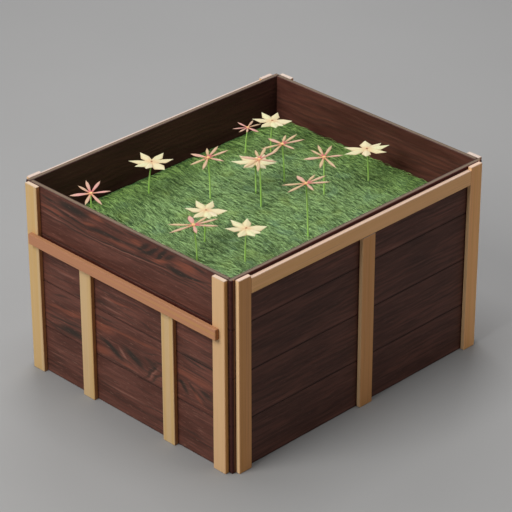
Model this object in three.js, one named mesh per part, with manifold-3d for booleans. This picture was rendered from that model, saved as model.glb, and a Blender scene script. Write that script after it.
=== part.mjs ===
// Planted window box: a box of dark planks, held by pale outer battens and filled with soil, a mat of
// combed grass and fourteen star-shaped flowers.
// Millimetres, +Z up. The origin is the middle of the box's footprint, on the surface it stands on.
// The long faces look along -Y (front) and +Y (back), the short faces along -X (left) and +X (right).

import * as THREE from 'three';
import { mergeVertices } from 'three/addons/utils/BufferGeometryUtils.js';
import Module from 'manifold-3d';

const wasm = await Module();
wasm.setup();

// ---- driving dimensions ----

const BOX_LENGTH = 600;          // outside of the planks, along X
const BOX_WIDTH = 495;           // outside of the planks, along Y
const COURSES = 4;
const COURSE_HEIGHT = 90.5;
const PLANK_THICK = 9;
const GAP = 0.3;                 // left between pieces that meet
const ARRIS = 0.8;               // broken edge on every piece of wood

const BATTEN_THICK = 8.5;        // how far a batten stands off the planks
const BATTEN_WIDTH = 28;
const POST_DROP = 0.4;           // post tops stay this far under the rim
const LONG_FACE_INSET = 8.5;     // corner of the planks to the edge of the corner post
const SHORT_FACE_INSET = 7.5;

const FRONT_RAIL_DROP = 5.5;     // rim to the top of the front's rail
const BACK_RAIL_DROP = 4;        // and to that of the back's
const CENTRE_STILE_WIDTH = 30;
const CENTRE_STILE_AT = 10;      // a long face's middle upright, off the middle

const BAND_TOP = 272;            // the rail laid over the uprights of a short face
const BAND_HEIGHT = 20;
const BAND_THICK = 8.7;
const BAND_INSET = 19.5;         // corner of the planks to the end of that rail
const BAND_OVERLAP = 8;          // how far the uprights run up behind it
const SHORT_STILES_AT = [105.3, -94.7];

const BASE_THICK = 12;
const BASE_BOARDS = 5;
const DRAIN_GAP = 4;             // between two base boards

const SOIL_TOP = 266;
const MAT_THICK = 6;
const MAT_TOP = SOIL_TOP + GAP + MAT_THICK;

const TURF_SEED = 20;
const BLADE_ROWS = 14;           // rows of grass along Y
const BLADE_COLUMNS = 27;        // blades in a row, along X
const BLADE_STAGGER = 0.25;      // of a column, to the left and right in turn from row to row
const BLADE_SHIFT_X = 0.2;       // of a column, at random either way
const BLADE_SHIFT_Y = 0.45;      // of a row
const BLADE_REACH = [36, 54];
const BLADE_RISE = [9, 15];
const BLADE_WIDTH = [5, 7.5];
const BLADE_KNEE = { at: 0.5, rise: 0.62, width: 0.84, ridge: 1.5 };  // where a blade leans over
const BLADE_ROOT_RIDGE = 2;
const BLADE_COMBED = -105;       // degrees from +X: the way the grass is combed
const BLADE_SPREAD = 20;         // degrees either way from it
const BLADE_SUNK = 2.6;
const SHORTEST_BLADE = 9;
const WALL_CLEAR = 2.5;          // blades keep this far off the planks
const STEM_CLEAR = 6;            // and this far off the middle of a stem

const STEM_RADIUS = 1.5;
const STEM_SIDES = 5;
const STEM_STEPS = 4;
const STEM_SUNK = 24;            // below the top of the soil
const STEM_STRAIGHT_TO = MAT_TOP + 1;
const STEM_INTO_EYE = 0.4;       // how far the stem ends below the middle of the eye, of its height
const STEM_HOLE_RADIUS = 2.3;
const STEM_HOLE_SIDES = 8;
const EYE_SIDES = 7;
const EYE_PROFILE = [[0, -1], [1, -0.2], [0.7, 0.5], [0, 0.7]];  // [of the radius, of the height]

// Petals of the two kinds of flower: [turn in degrees, reach, rise of the tip, share of the full width].
const PINK_PETALS = [
  [0, 41, 4, 1],
  [35, 41, 4, 1],
  [64, 33, 2, 0.9],
  [118, 36, -2, 1.5],
  [190, 41, -1, 1],
  [228, 45, -1, 1],
  [294, 34, 3, 1],
];
const CREAM_PETALS = [
  [0, 41, -3, 1],
  [40, 43, -2, 1],
  [102, 36, 3, 1.05],
  [164, 40, 4, 1],
  [203, 40, 5, 1],
  [232, 32, 2, 1],
  [289, 36, -2, 1.4],
];
const PINK_BLOOM = {
  petals: PINK_PETALS,
  outline: [[0.02, 1.5], [0.62, 2.8]],   // [part of the reach, half width]
  thick: 2.6,
  edgeDrop: 0.2,
  eyeRadius: 3.4,
  eyeHeight: 3,
};
const CREAM_BLOOM = {
  petals: CREAM_PETALS,
  outline: [[0.03, 4.4], [0.58, 7.8]],
  thick: 1.6,
  edgeDrop: 2.6,
  eyeRadius: 4,
  eyeHeight: 2.2,
};

// Flowers: name, kind, middle of the head (x, y, z), turn in degrees, size, lean of the stem.
const FLOWERS = [
  ['pink_flower_1', PINK_BLOOM, -252, 137, 358, 25, 1, 0],
  ['pink_flower_2', PINK_BLOOM, -27, 88, 362, 346, 1, -3],
  ['pink_flower_3', PINK_BLOOM, 145, 166, 333, 159, 0.72, 4],
  ['pink_flower_4', PINK_BLOOM, 107, 42, 357, 330, 1, -4],
  ['pink_flower_5', PINK_BLOOM, 15, 6, 373, 354, 1, -3],
  ['pink_flower_6', PINK_BLOOM, 126, -40, 354, 24, 1, -1],
  ['pink_flower_7', PINK_BLOOM, -6, -125, 383, 312, 1, -4],
  ['pink_flower_8', PINK_BLOOM, -195, -52, 348, 300, 1, -5],
  ['cream_flower_1', CREAM_BLOOM, -82, 172, 344, 338, 1, 6],
  ['cream_flower_2', CREAM_BLOOM, 178, 137, 345, 31, 1, 3],
  ['cream_flower_3', CREAM_BLOOM, 45, 46, 344, 89, 1, -1],
  ['cream_flower_4', CREAM_BLOOM, 215, -58, 345, 119, 1, -4],
  ['cream_flower_5', CREAM_BLOOM, -138, -22, 343, 30, 1, 3],
  ['cream_flower_6', CREAM_BLOOM, -138, -117, 345, 43, 1, 2],
];
const LEAN_TURN = THREE.MathUtils.degToRad(-45);  // every stem leans along this line

// ---- worked out from them ----

const RIM = COURSES * COURSE_HEIGHT;
const INSIDE_LENGTH = BOX_LENGTH - 2 * PLANK_THICK;
const INSIDE_WIDTH = BOX_WIDTH - 2 * PLANK_THICK;
const BATTEN_BODY = BATTEN_THICK - GAP;
const POST_HEIGHT = RIM - POST_DROP;

// ---- materials ----

const finish = (color, roughness) => new THREE.MeshStandardMaterial({ color, roughness, metalness: 0 });
const darkWood = finish('#57342f', 0.5);
const paleWood = finish('#c4a474', 0.55);
const bandWood = finish('#b08058', 0.5);
const baseWood = finish('#6a4a34', 0.7);
const earth = finish('#3a2a1e', 0.95);
const grassGreen = finish('#5a8a4a', 0.8);
const petalPink = finish('#e8a0a0', 0.6);
const petalCream = finish('#f0dfa8', 0.6);

// ---- helpers ----

const turned = (degrees) => THREE.MathUtils.degToRad(degrees);

/** A seeded draw between 0 and 1, so that the grass is the same every time. */
function makeDraw(seed) {
  let state = seed;
  return () => {
    state = (state + 0x6d2b79f5) | 0;
    let mixed = Math.imul(state ^ (state >>> 15), 1 | state);
    mixed = (mixed + Math.imul(mixed ^ (mixed >>> 7), 61 | mixed)) ^ mixed;
    return ((mixed ^ (mixed >>> 14)) >>> 0) / 4294967296;
  };
}

/** The geometry as a solid that can be joined or cut. */
function solidOf(geometry) {
  const bare = geometry.clone();
  bare.deleteAttribute('normal');
  bare.deleteAttribute('uv');
  const merged = mergeVertices(bare, 1e-4);
  return new wasm.Manifold(new wasm.Mesh({
    numProp: 3,
    vertProperties: new Float32Array(merged.attributes.position.array),
    triVerts: new Uint32Array(merged.index.array),
  }));
}

/** The solid as a geometry again, without the loose scraps and sealed hollows that joining can leave. */
function geometryOf(solid) {
  const shells = solid.decompose().sort((a, b) => b.volume() - a.volume());
  const mesh = shells[0].getMesh();
  const geometry = new THREE.BufferGeometry();
  geometry.setAttribute('position', new THREE.BufferAttribute(new Float32Array(mesh.vertProperties), 3));
  geometry.setIndex(new THREE.BufferAttribute(new Uint32Array(mesh.triVerts), 1));
  geometry.computeVertexNormals();
  return geometry;
}

/** All solids joined, in pairs. */
function joined(solids) {
  let parts = solids;
  while (parts.length > 1) {
    const next = [];
    for (let i = 0; i < parts.length; i += 2) {
      next.push(i + 1 < parts.length ? parts[i].add(parts[i + 1]) : parts[i]);
    }
    parts = next;
  }
  return parts[0];
}

/** A closed skin over rings of points, from a capped first ring to a single tip. */
function spikeGeometry(rings, tip) {
  const sides = rings[0].length;
  const points = [...rings.flat(), tip];
  const faces = [];
  for (let i = 1; i < sides - 1; i += 1) {
    faces.push(0, i + 1, i);
  }
  for (let ring = 0; ring < rings.length - 1; ring += 1) {
    for (let i = 0; i < sides; i += 1) {
      const a = ring * sides + i;
      const b = ring * sides + (i + 1) % sides;
      faces.push(a, b, b + sides, a, b + sides, a + sides);
    }
  }
  const last = (rings.length - 1) * sides;
  for (let i = 0; i < sides; i += 1) {
    faces.push(last + i, last + (i + 1) % sides, points.length - 1);
  }
  const geometry = new THREE.BufferGeometry();
  geometry.setAttribute('position', new THREE.Float32BufferAttribute(points.flatMap((p) => p.toArray()), 3));
  geometry.setIndex(faces);
  return geometry;
}

/** A mesh with its node's name, at its place. */
function piece(name, geometry, material, [x, y, z] = [0, 0, 0]) {
  const mesh = new THREE.Mesh(geometry, material);
  mesh.name = name;
  mesh.position.set(x, y, z);
  return mesh;
}

// ---- wood ----

const BROKEN_EDGES = {
  bevelEnabled: true,
  bevelThickness: ARRIS,
  bevelSize: ARRIS,
  bevelOffset: -ARRIS,
  bevelSegments: 1,
};

/** A shape drawn on XY, stood up to the height, with its top and bottom edges broken. */
function stoodUp(shape, height) {
  const geometry = new THREE.ExtrudeGeometry(shape, { depth: height - 2 * ARRIS, ...BROKEN_EDGES });
  geometry.translate(0, 0, ARRIS);
  return geometry;
}

/** A batten along Z with its back on y = 0, centred on x, and all its edges broken. */
function battenGeometry(width, thick, length) {
  const x = width / 2;
  const section = new THREE.Shape([
    new THREE.Vector2(-x + ARRIS, -thick),
    new THREE.Vector2(x - ARRIS, -thick),
    new THREE.Vector2(x, -thick + ARRIS),
    new THREE.Vector2(x, -ARRIS),
    new THREE.Vector2(x - ARRIS, 0),
    new THREE.Vector2(-x + ARRIS, 0),
    new THREE.Vector2(-x, -ARRIS),
    new THREE.Vector2(-x, -thick + ARRIS),
  ]);
  return stoodUp(section, length);
}

/** The same batten laid along X, centred, with its lower edge on z = 0. */
function railGeometry(width, thick, length) {
  const geometry = battenGeometry(width, thick, length);
  geometry.rotateY(Math.PI / 2);
  geometry.translate(-length / 2, 0, width / 2);
  return geometry;
}

/** The planks of one wall, on edge with their outer face on y = 0, from the bottom course to the top. */
function wallPlanks(side, length) {
  const planks = [];
  for (let course = 0; course < COURSES; course += 1) {
    const plank = battenGeometry(length, PLANK_THICK, COURSE_HEIGHT - GAP);
    const place = [0, PLANK_THICK, course * COURSE_HEIGHT];
    planks.push(piece(`${side}_plank_${course + 1}`, plank, darkWood, place));
  }
  return planks;
}

/** The two corner posts of one wall. */
function cornerPosts(side, length, inset) {
  const at = length / 2 - inset - BATTEN_WIDTH / 2;
  const post = () => battenGeometry(BATTEN_WIDTH, BATTEN_BODY, POST_HEIGHT);
  return [
    piece(`${side}_post_1`, post(), paleWood, [-at, -GAP, 0]),
    piece(`${side}_post_2`, post(), paleWood, [at, -GAP, 0]),
  ];
}

/** A long face, outside on y = 0 and facing -Y: planks, posts, a rail between them and one stile. */
function longFace(side, railDrop) {
  const face = new THREE.Group();
  const railLength = BOX_LENGTH - 2 * (LONG_FACE_INSET + BATTEN_WIDTH + GAP);
  const railFoot = RIM - railDrop - BATTEN_WIDTH;
  face.add(...wallPlanks(side, BOX_LENGTH));
  face.add(...cornerPosts(side, BOX_LENGTH, LONG_FACE_INSET));
  const rail = railGeometry(BATTEN_WIDTH, BATTEN_BODY, railLength);
  face.add(piece(`${side}_top_rail`, rail, paleWood, [0, -GAP, railFoot]));
  const stile = battenGeometry(CENTRE_STILE_WIDTH, BATTEN_BODY, railFoot - GAP);
  face.add(piece(`${side}_stile`, stile, paleWood, [CENTRE_STILE_AT, -GAP, 0]));
  return face;
}

/** A short face, built facing -Y: planks between the long faces', posts, two stiles and the band. */
function shortFace(side) {
  const face = new THREE.Group();
  face.add(...wallPlanks(side, INSIDE_WIDTH - 2 * GAP));
  face.add(...cornerPosts(side, BOX_WIDTH, SHORT_FACE_INSET));
  const stileHeight = BAND_TOP - BAND_HEIGHT + BAND_OVERLAP;
  SHORT_STILES_AT.forEach((at, i) => {
    const stile = battenGeometry(BATTEN_WIDTH, BATTEN_BODY, stileHeight);
    face.add(piece(`${side}_stile_${i + 1}`, stile, paleWood, [at, -GAP, 0]));
  });
  const band = railGeometry(BAND_HEIGHT, BAND_THICK - GAP, BOX_WIDTH - 2 * BAND_INSET);
  face.add(piece(`${side}_band`, band, bandWood, [0, -BATTEN_THICK - GAP, BAND_TOP - BAND_HEIGHT]));
  return face;
}

/** The boards of the base, running front to back, with gaps that let water out. */
function baseBoards() {
  const boards = [];
  const span = INSIDE_LENGTH - 2 * GAP;
  const width = (span - (BASE_BOARDS - 1) * DRAIN_GAP) / BASE_BOARDS;
  const length = INSIDE_WIDTH - 2 * GAP;
  for (let i = 0; i < BASE_BOARDS; i += 1) {
    const x = (i - (BASE_BOARDS - 1) / 2) * (width + DRAIN_GAP);
    const board = battenGeometry(width, BASE_THICK, length);
    board.rotateX(Math.PI / 2);
    board.translate(0, length / 2, BASE_THICK);
    boards.push(piece(`base_board_${i + 1}`, board, baseWood, [x, 0, 0]));
  }
  return boards;
}

// ---- planting ----

/** Where a flower's stem comes out of the ground. */
function stemFoot([, , x, y, , , , lean]) {
  return new THREE.Vector2(x - lean * Math.cos(LEAN_TURN), y - lean * Math.sin(LEAN_TURN));
}

/** An upright hole for each stem, through everything between the two heights. */
function stemHoles(bottom, top) {
  return FLOWERS.map((flower) => {
    const foot = stemFoot(flower);
    const hole = new THREE.CylinderGeometry(
      STEM_HOLE_RADIUS, STEM_HOLE_RADIUS, top - bottom, STEM_HOLE_SIDES,
    );
    hole.rotateX(Math.PI / 2);
    hole.translate(foot.x, foot.y, (bottom + top) / 2);
    return solidOf(hole);
  });
}

/** A slab that fills the inside of the box between two heights. */
function fillGeometry(bottom, top) {
  const slab = new THREE.BoxGeometry(INSIDE_LENGTH - 2 * GAP, INSIDE_WIDTH - 2 * GAP, top - bottom);
  slab.translate(0, 0, (bottom + top) / 2);
  return slab;
}

function soilGeometry() {
  const slab = solidOf(fillGeometry(BASE_THICK + GAP, SOIL_TOP));
  const holes = joined(stemHoles(SOIL_TOP - STEM_SUNK - 2 * GAP, SOIL_TOP + 1));
  return geometryOf(slab.subtract(holes));
}

/** One blade of grass: a three-sided spike that rises from the mat and leans over. */
function bladeGeometry(root, along, reach, rise, width) {
  const forward = new THREE.Vector3(Math.cos(along), Math.sin(along), 0);
  const across = new THREE.Vector3(-forward.y, forward.x, 0);
  const ring = (part, height, ringWidth, ridge) => {
    const middle = root.clone().addScaledVector(forward, reach * part);
    middle.z += height;
    return [
      middle.clone().addScaledVector(across, -ringWidth / 2),
      middle.clone().addScaledVector(across, ringWidth / 2),
      middle.clone().add(new THREE.Vector3(0, 0, ridge)),
    ];
  };
  const knee = BLADE_KNEE;
  const tip = root.clone().addScaledVector(forward, reach);
  tip.z += BLADE_SUNK + rise;
  return spikeGeometry([
    ring(0, 0, width, BLADE_ROOT_RIDGE),
    ring(knee.at, BLADE_SUNK + rise * knee.rise, width * knee.width, knee.ridge),
  ], tip);
}

/** How near a stretch of ground comes to any stem. */
function nearestStem(from, to) {
  const line = to.clone().sub(from);
  return Math.min(...FLOWERS.map((flower) => {
    const foot = stemFoot(flower);
    const part = THREE.MathUtils.clamp(foot.clone().sub(from).dot(line) / line.lengthSq(), 0, 1);
    return from.clone().addScaledVector(line, part).distanceTo(foot);
  }));
}

/** The longest reach up to the one asked for that stays inside the planks. */
function reachInside(x, y, along, reach) {
  const halfX = INSIDE_LENGTH / 2 - WALL_CLEAR;
  const halfY = INSIDE_WIDTH / 2 - WALL_CLEAR;
  const toX = (halfX * Math.sign(Math.cos(along)) - x) / Math.cos(along);
  const toY = (halfY * Math.sign(Math.sin(along)) - y) / Math.sin(along);
  return Math.min(reach, toX, toY);
}

/** Grass: a mat of roots with rows of blades that are combed towards the front. */
function turfGeometry() {
  const draw = makeDraw(TURF_SEED);
  const between = ([low, high]) => low + (high - low) * draw();
  const eitherWay = (most) => most * (2 * draw() - 1);
  const pitchX = (INSIDE_LENGTH - 4 * WALL_CLEAR) / BLADE_COLUMNS;
  const pitchY = (INSIDE_WIDTH - 4 * WALL_CLEAR) / BLADE_ROWS;
  const blades = [];
  for (let row = 0; row < BLADE_ROWS; row += 1) {
    for (let column = 0; column < BLADE_COLUMNS; column += 1) {
      const stagger = row % 2 ? BLADE_STAGGER : -BLADE_STAGGER;
      const x = (column - (BLADE_COLUMNS - 1) / 2 + stagger + eitherWay(BLADE_SHIFT_X)) * pitchX;
      const anyY = (row + 1 - BLADE_ROWS / 2 + eitherWay(BLADE_SHIFT_Y)) * pitchY;
      const y = Math.min(anyY, INSIDE_WIDTH / 2 - 2 * WALL_CLEAR);
      const along = turned(BLADE_COMBED + eitherWay(BLADE_SPREAD));
      const reach = reachInside(x, y, along, between(BLADE_REACH));
      const rise = between(BLADE_RISE);
      const width = between(BLADE_WIDTH);
      const from = new THREE.Vector2(x, y);
      const to = new THREE.Vector2(x + reach * Math.cos(along), y + reach * Math.sin(along));
      if (reach > SHORTEST_BLADE && nearestStem(from, to) > STEM_CLEAR) {
        const root = new THREE.Vector3(x, y, MAT_TOP - BLADE_SUNK);
        blades.push(solidOf(bladeGeometry(root, along, reach, rise, width)));
      }
    }
  }
  const slab = solidOf(fillGeometry(SOIL_TOP + GAP, MAT_TOP));
  const mat = slab.subtract(joined(stemHoles(SOIL_TOP, MAT_TOP + 1)));
  return geometryOf(mat.add(joined(blades)));
}

/** One petal from the middle of a head outwards: a thin blade with a raised midrib. */
function petalGeometry(bloom, [turn, reach, rise, breadth], size) {
  const along = turned(turn);
  const forward = new THREE.Vector3(Math.cos(along), Math.sin(along), 0);
  const across = new THREE.Vector3(-forward.y, forward.x, 0);
  const widest = Math.max(...bloom.outline.map(([, half]) => half));
  const rings = bloom.outline.map(([part, half]) => {
    const fullness = half / widest;
    const middle = forward.clone().multiplyScalar(reach * size * part);
    middle.z = rise * size * part;
    const edge = (side) => {
      const point = middle.clone().addScaledVector(across, side * half * breadth * size);
      point.z -= bloom.edgeDrop * fullness * size;
      return point;
    };
    const rib = (side) => middle.clone().add(new THREE.Vector3(0, 0, side * bloom.thick * size / 2));
    return [edge(-1), rib(-1), edge(1), rib(1)];
  });
  const tip = forward.clone().multiplyScalar(reach * size);
  tip.z = rise * size;
  return spikeGeometry(rings, tip);
}

/** The small round middle of a head, which the petals and the stem run into. */
function eyeGeometry(bloom, size) {
  const radius = bloom.eyeRadius * size;
  const height = bloom.eyeHeight * size;
  const profile = EYE_PROFILE.map(([out, up]) => new THREE.Vector2(out * radius, up * height));
  const eye = new THREE.LatheGeometry(profile, EYE_SIDES);
  eye.rotateX(Math.PI / 2);
  return eye;
}

/** A gently bent stem, from its foot in the soil up into the head. */
function stemGeometry(foot, head) {
  const ring = [];
  for (let i = 0; i < STEM_SIDES; i += 1) {
    const at = turned(360 * i / STEM_SIDES);
    ring.push(new THREE.Vector2(STEM_RADIUS * Math.cos(at), STEM_RADIUS * Math.sin(at)));
  }
  const buried = new THREE.Vector3(foot.x, foot.y, SOIL_TOP - STEM_SUNK);
  const ground = new THREE.Vector3(foot.x, foot.y, STEM_STRAIGHT_TO);
  const bend = new THREE.Vector3(foot.x, foot.y, (STEM_STRAIGHT_TO + head.z) / 2);
  const path = new THREE.CurvePath();
  path.add(new THREE.LineCurve3(buried, ground));
  path.add(new THREE.QuadraticBezierCurve3(ground, bend, head));
  return new THREE.ExtrudeGeometry(new THREE.Shape(ring), {
    steps: STEM_STEPS,
    bevelEnabled: false,
    extrudePath: path,
  });
}

/** A whole flower, grown as one piece: stem, eye and petals. */
function flowerPiece(flower) {
  const [name, bloom, x, y, z, turn, size] = flower;
  const head = bloom.petals.map((petal) => solidOf(petalGeometry(bloom, petal, size)));
  head.push(solidOf(eyeGeometry(bloom, size)));
  const placed = joined(head).rotate([0, 0, turn]).translate([x, y, z]);
  const stemTop = new THREE.Vector3(x, y, z - STEM_INTO_EYE * bloom.eyeHeight * size);
  const stem = solidOf(stemGeometry(stemFoot(flower), stemTop));
  const material = bloom === PINK_BLOOM ? petalPink : petalCream;
  return piece(name, geometryOf(placed.add(stem)), material);
}

// ---- the whole ----

const windowBox = new THREE.Group();

const front = longFace('front', FRONT_RAIL_DROP);
front.position.set(0, -BOX_WIDTH / 2, 0);

const back = longFace('back', BACK_RAIL_DROP);
back.position.set(0, BOX_WIDTH / 2, 0);
back.rotation.z = Math.PI;

const left = shortFace('left');
left.position.set(-BOX_LENGTH / 2, 0, 0);
left.rotation.z = -Math.PI / 2;

const right = shortFace('right');
right.position.set(BOX_LENGTH / 2, 0, 0);
right.rotation.z = Math.PI / 2;

windowBox.add(front, back, left, right);
windowBox.add(...baseBoards());
windowBox.add(piece('soil', soilGeometry(), earth));
windowBox.add(piece('turf', turfGeometry(), grassGreen));
windowBox.add(...FLOWERS.map(flowerPiece));

export default windowBox;
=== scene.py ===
# The looks of a planted window box: figured planks, pale battens, combed turf and star-shaped flowers.
# Metres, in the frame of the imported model: +Z up, the origin under the middle of the box, long faces
# along X. The front looks along -Y and the left short face along -X.

import math
import random

import bpy
from mathutils import Matrix, Vector


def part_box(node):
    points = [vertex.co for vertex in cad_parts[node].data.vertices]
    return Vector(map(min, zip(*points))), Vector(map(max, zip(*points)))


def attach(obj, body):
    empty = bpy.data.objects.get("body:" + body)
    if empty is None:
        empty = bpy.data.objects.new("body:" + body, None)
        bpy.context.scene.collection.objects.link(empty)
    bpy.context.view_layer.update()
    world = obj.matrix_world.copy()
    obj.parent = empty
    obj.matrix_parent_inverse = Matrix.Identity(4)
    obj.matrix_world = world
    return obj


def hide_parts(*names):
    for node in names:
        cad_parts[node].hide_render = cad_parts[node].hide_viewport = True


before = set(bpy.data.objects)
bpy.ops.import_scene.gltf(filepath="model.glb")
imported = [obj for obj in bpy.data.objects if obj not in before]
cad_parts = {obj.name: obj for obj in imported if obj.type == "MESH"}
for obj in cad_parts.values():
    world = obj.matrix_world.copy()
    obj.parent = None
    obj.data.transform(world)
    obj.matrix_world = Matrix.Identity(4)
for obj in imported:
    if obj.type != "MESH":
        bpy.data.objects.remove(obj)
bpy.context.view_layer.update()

MM = 0.001
SIDES = ("front", "back", "left", "right")
LONG_SIDES = ("front", "back")
COURSES = 4
BODY = "root"


# ---- shader expressions ----

def tone(code):
    """The linear colour of a screen colour such as #c4a474."""
    parts = [int(code[i:i + 2], 16) / 255 for i in (1, 3, 5)]
    linear = [p / 12.92 if p <= 0.04045 else ((p + 0.055) / 1.055) ** 2.4 for p in parts]
    return (*linear, 1.0)


class Value:
    """A socket that takes part in arithmetic: each expression adds its Math nodes."""

    def __init__(self, finish, socket):
        self.finish = finish
        self.socket = socket

    def __add__(self, other):
        return self.finish.math("ADD", self, other)

    def __radd__(self, other):
        return self.finish.math("ADD", other, self)

    def __sub__(self, other):
        return self.finish.math("SUBTRACT", self, other)

    def __rsub__(self, other):
        return self.finish.math("SUBTRACT", other, self)

    def __mul__(self, other):
        return self.finish.math("MULTIPLY", self, other)

    def __rmul__(self, other):
        return self.finish.math("MULTIPLY", other, self)

    def __truediv__(self, other):
        return self.finish.math("DIVIDE", self, other)


class Finish:
    """One material, built up from expressions on the place of a point in the object's own frame."""

    def __init__(self, name):
        self.material = bpy.data.materials.new(name)
        self.material.use_nodes = True
        self.tree = self.material.node_tree
        self.tree.nodes.clear()
        place = self.node("ShaderNodeTexCoord", output="Object")
        self.x, self.y, self.z = [
            self.node("ShaderNodeSeparateXYZ", sockets={0: place}, output=axis) for axis in "XYZ"
        ]

    def node(self, kind, settings=None, sockets=None, output=0):
        """Any node: its settings first, then the values or links of its sockets, by name or number."""
        made = self.tree.nodes.new(kind)
        for name, setting in (settings or {}).items():
            setattr(made, name, setting)
        shown = [socket for socket in made.inputs if socket.enabled]
        by_name = {socket.name: socket for socket in reversed(shown)}
        for key, value in (sockets or {}).items():
            socket = shown[key] if isinstance(key, int) else by_name[key]
            if isinstance(value, Value):
                self.tree.links.new(value.socket, socket)
            else:
                socket.default_value = value
        given = [socket for socket in made.outputs if socket.enabled]
        found = given[output] if isinstance(output, int) else made.outputs[output]
        return Value(self, found)

    def math(self, operation, *terms):
        """A Math node on numbers or values."""
        return self.node("ShaderNodeMath", {"operation": operation}, dict(enumerate(terms)))

    def vector(self, x, y, z):
        """Three numbers or values as one place."""
        return self.node("ShaderNodeCombineXYZ", sockets={0: x, 1: y, 2: z})

    def noise(self, x, y, z, detail=2.0, roughness=0.5):
        """Smooth noise from 0 to 1 over a place whose units are about one lump wide."""
        sockets = {"Vector": self.vector(x, y, z), "Scale": 1.0, "Detail": detail, "Roughness": roughness}
        return self.node("ShaderNodeTexNoise", sockets=sockets)

    def step(self, value, low, high):
        """0 up to low, 1 from high, and an S-shaped rise between them."""
        sockets = {"Value": value, "From Min": low, "From Max": high}
        return self.node("ShaderNodeMapRange", {"interpolation_type": "SMOOTHSTEP"}, sockets)

    def hump(self, value, middle, half_width):
        """1 in the middle and falling off to both sides, like a bell."""
        away = (value - middle) / half_width
        return self.math("EXPONENT", 0 - away * away)

    def wave(self, value):
        """0 at whole numbers and 1 half-way between them, in a smooth wave."""
        return 0.5 - 0.5 * self.math("COSINE", value * (2 * math.pi))

    def facing(self, axis):
        """How far the surface looks along an axis: 1 towards it, -1 away from it."""
        normal = self.node("ShaderNodeNewGeometry", output="True Normal")
        return self.node("ShaderNodeSeparateXYZ", sockets={0: normal}, output=axis)

    def mix(self, part, first, second):
        """The first colour, with that part of the second."""
        settings = {"data_type": "RGBA", "clamp_factor": True}
        return self.node("ShaderNodeMix", settings, {"Factor": part, "A": first, "B": second})

    def shade(self, colour, factor):
        """The colour, made darker or lighter by a factor."""
        settings = {"operation": "SCALE"}
        return self.node("ShaderNodeVectorMath", settings, {"Vector": colour, "Scale": factor})

    def mark(self, name):
        """A number that the mesh carries at each of its points."""
        return self.node("ShaderNodeAttribute", {"attribute_name": name}, output="Fac")

    def surface(self, colour, roughness, height=None, depth=0.0003, strength=0.6, **fixed):
        """Ends the material: what varies, and the shader's fixed settings."""
        sockets = {"Base Color": colour, "Roughness": roughness}
        if height is not None:
            bumps = {"Height": height, "Distance": depth, "Strength": strength}
            sockets["Normal"] = self.node("ShaderNodeBump", sockets=bumps)
        sockets.update({name.replace("_", " "): value for name, value in fixed.items()})
        shader = self.node("ShaderNodeBsdfPrincipled", sockets=sockets)
        end = self.tree.nodes.new("ShaderNodeOutputMaterial")
        self.tree.links.new(shader.socket, end.inputs["Surface"])
        return self.material


# ---- wood ----

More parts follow.
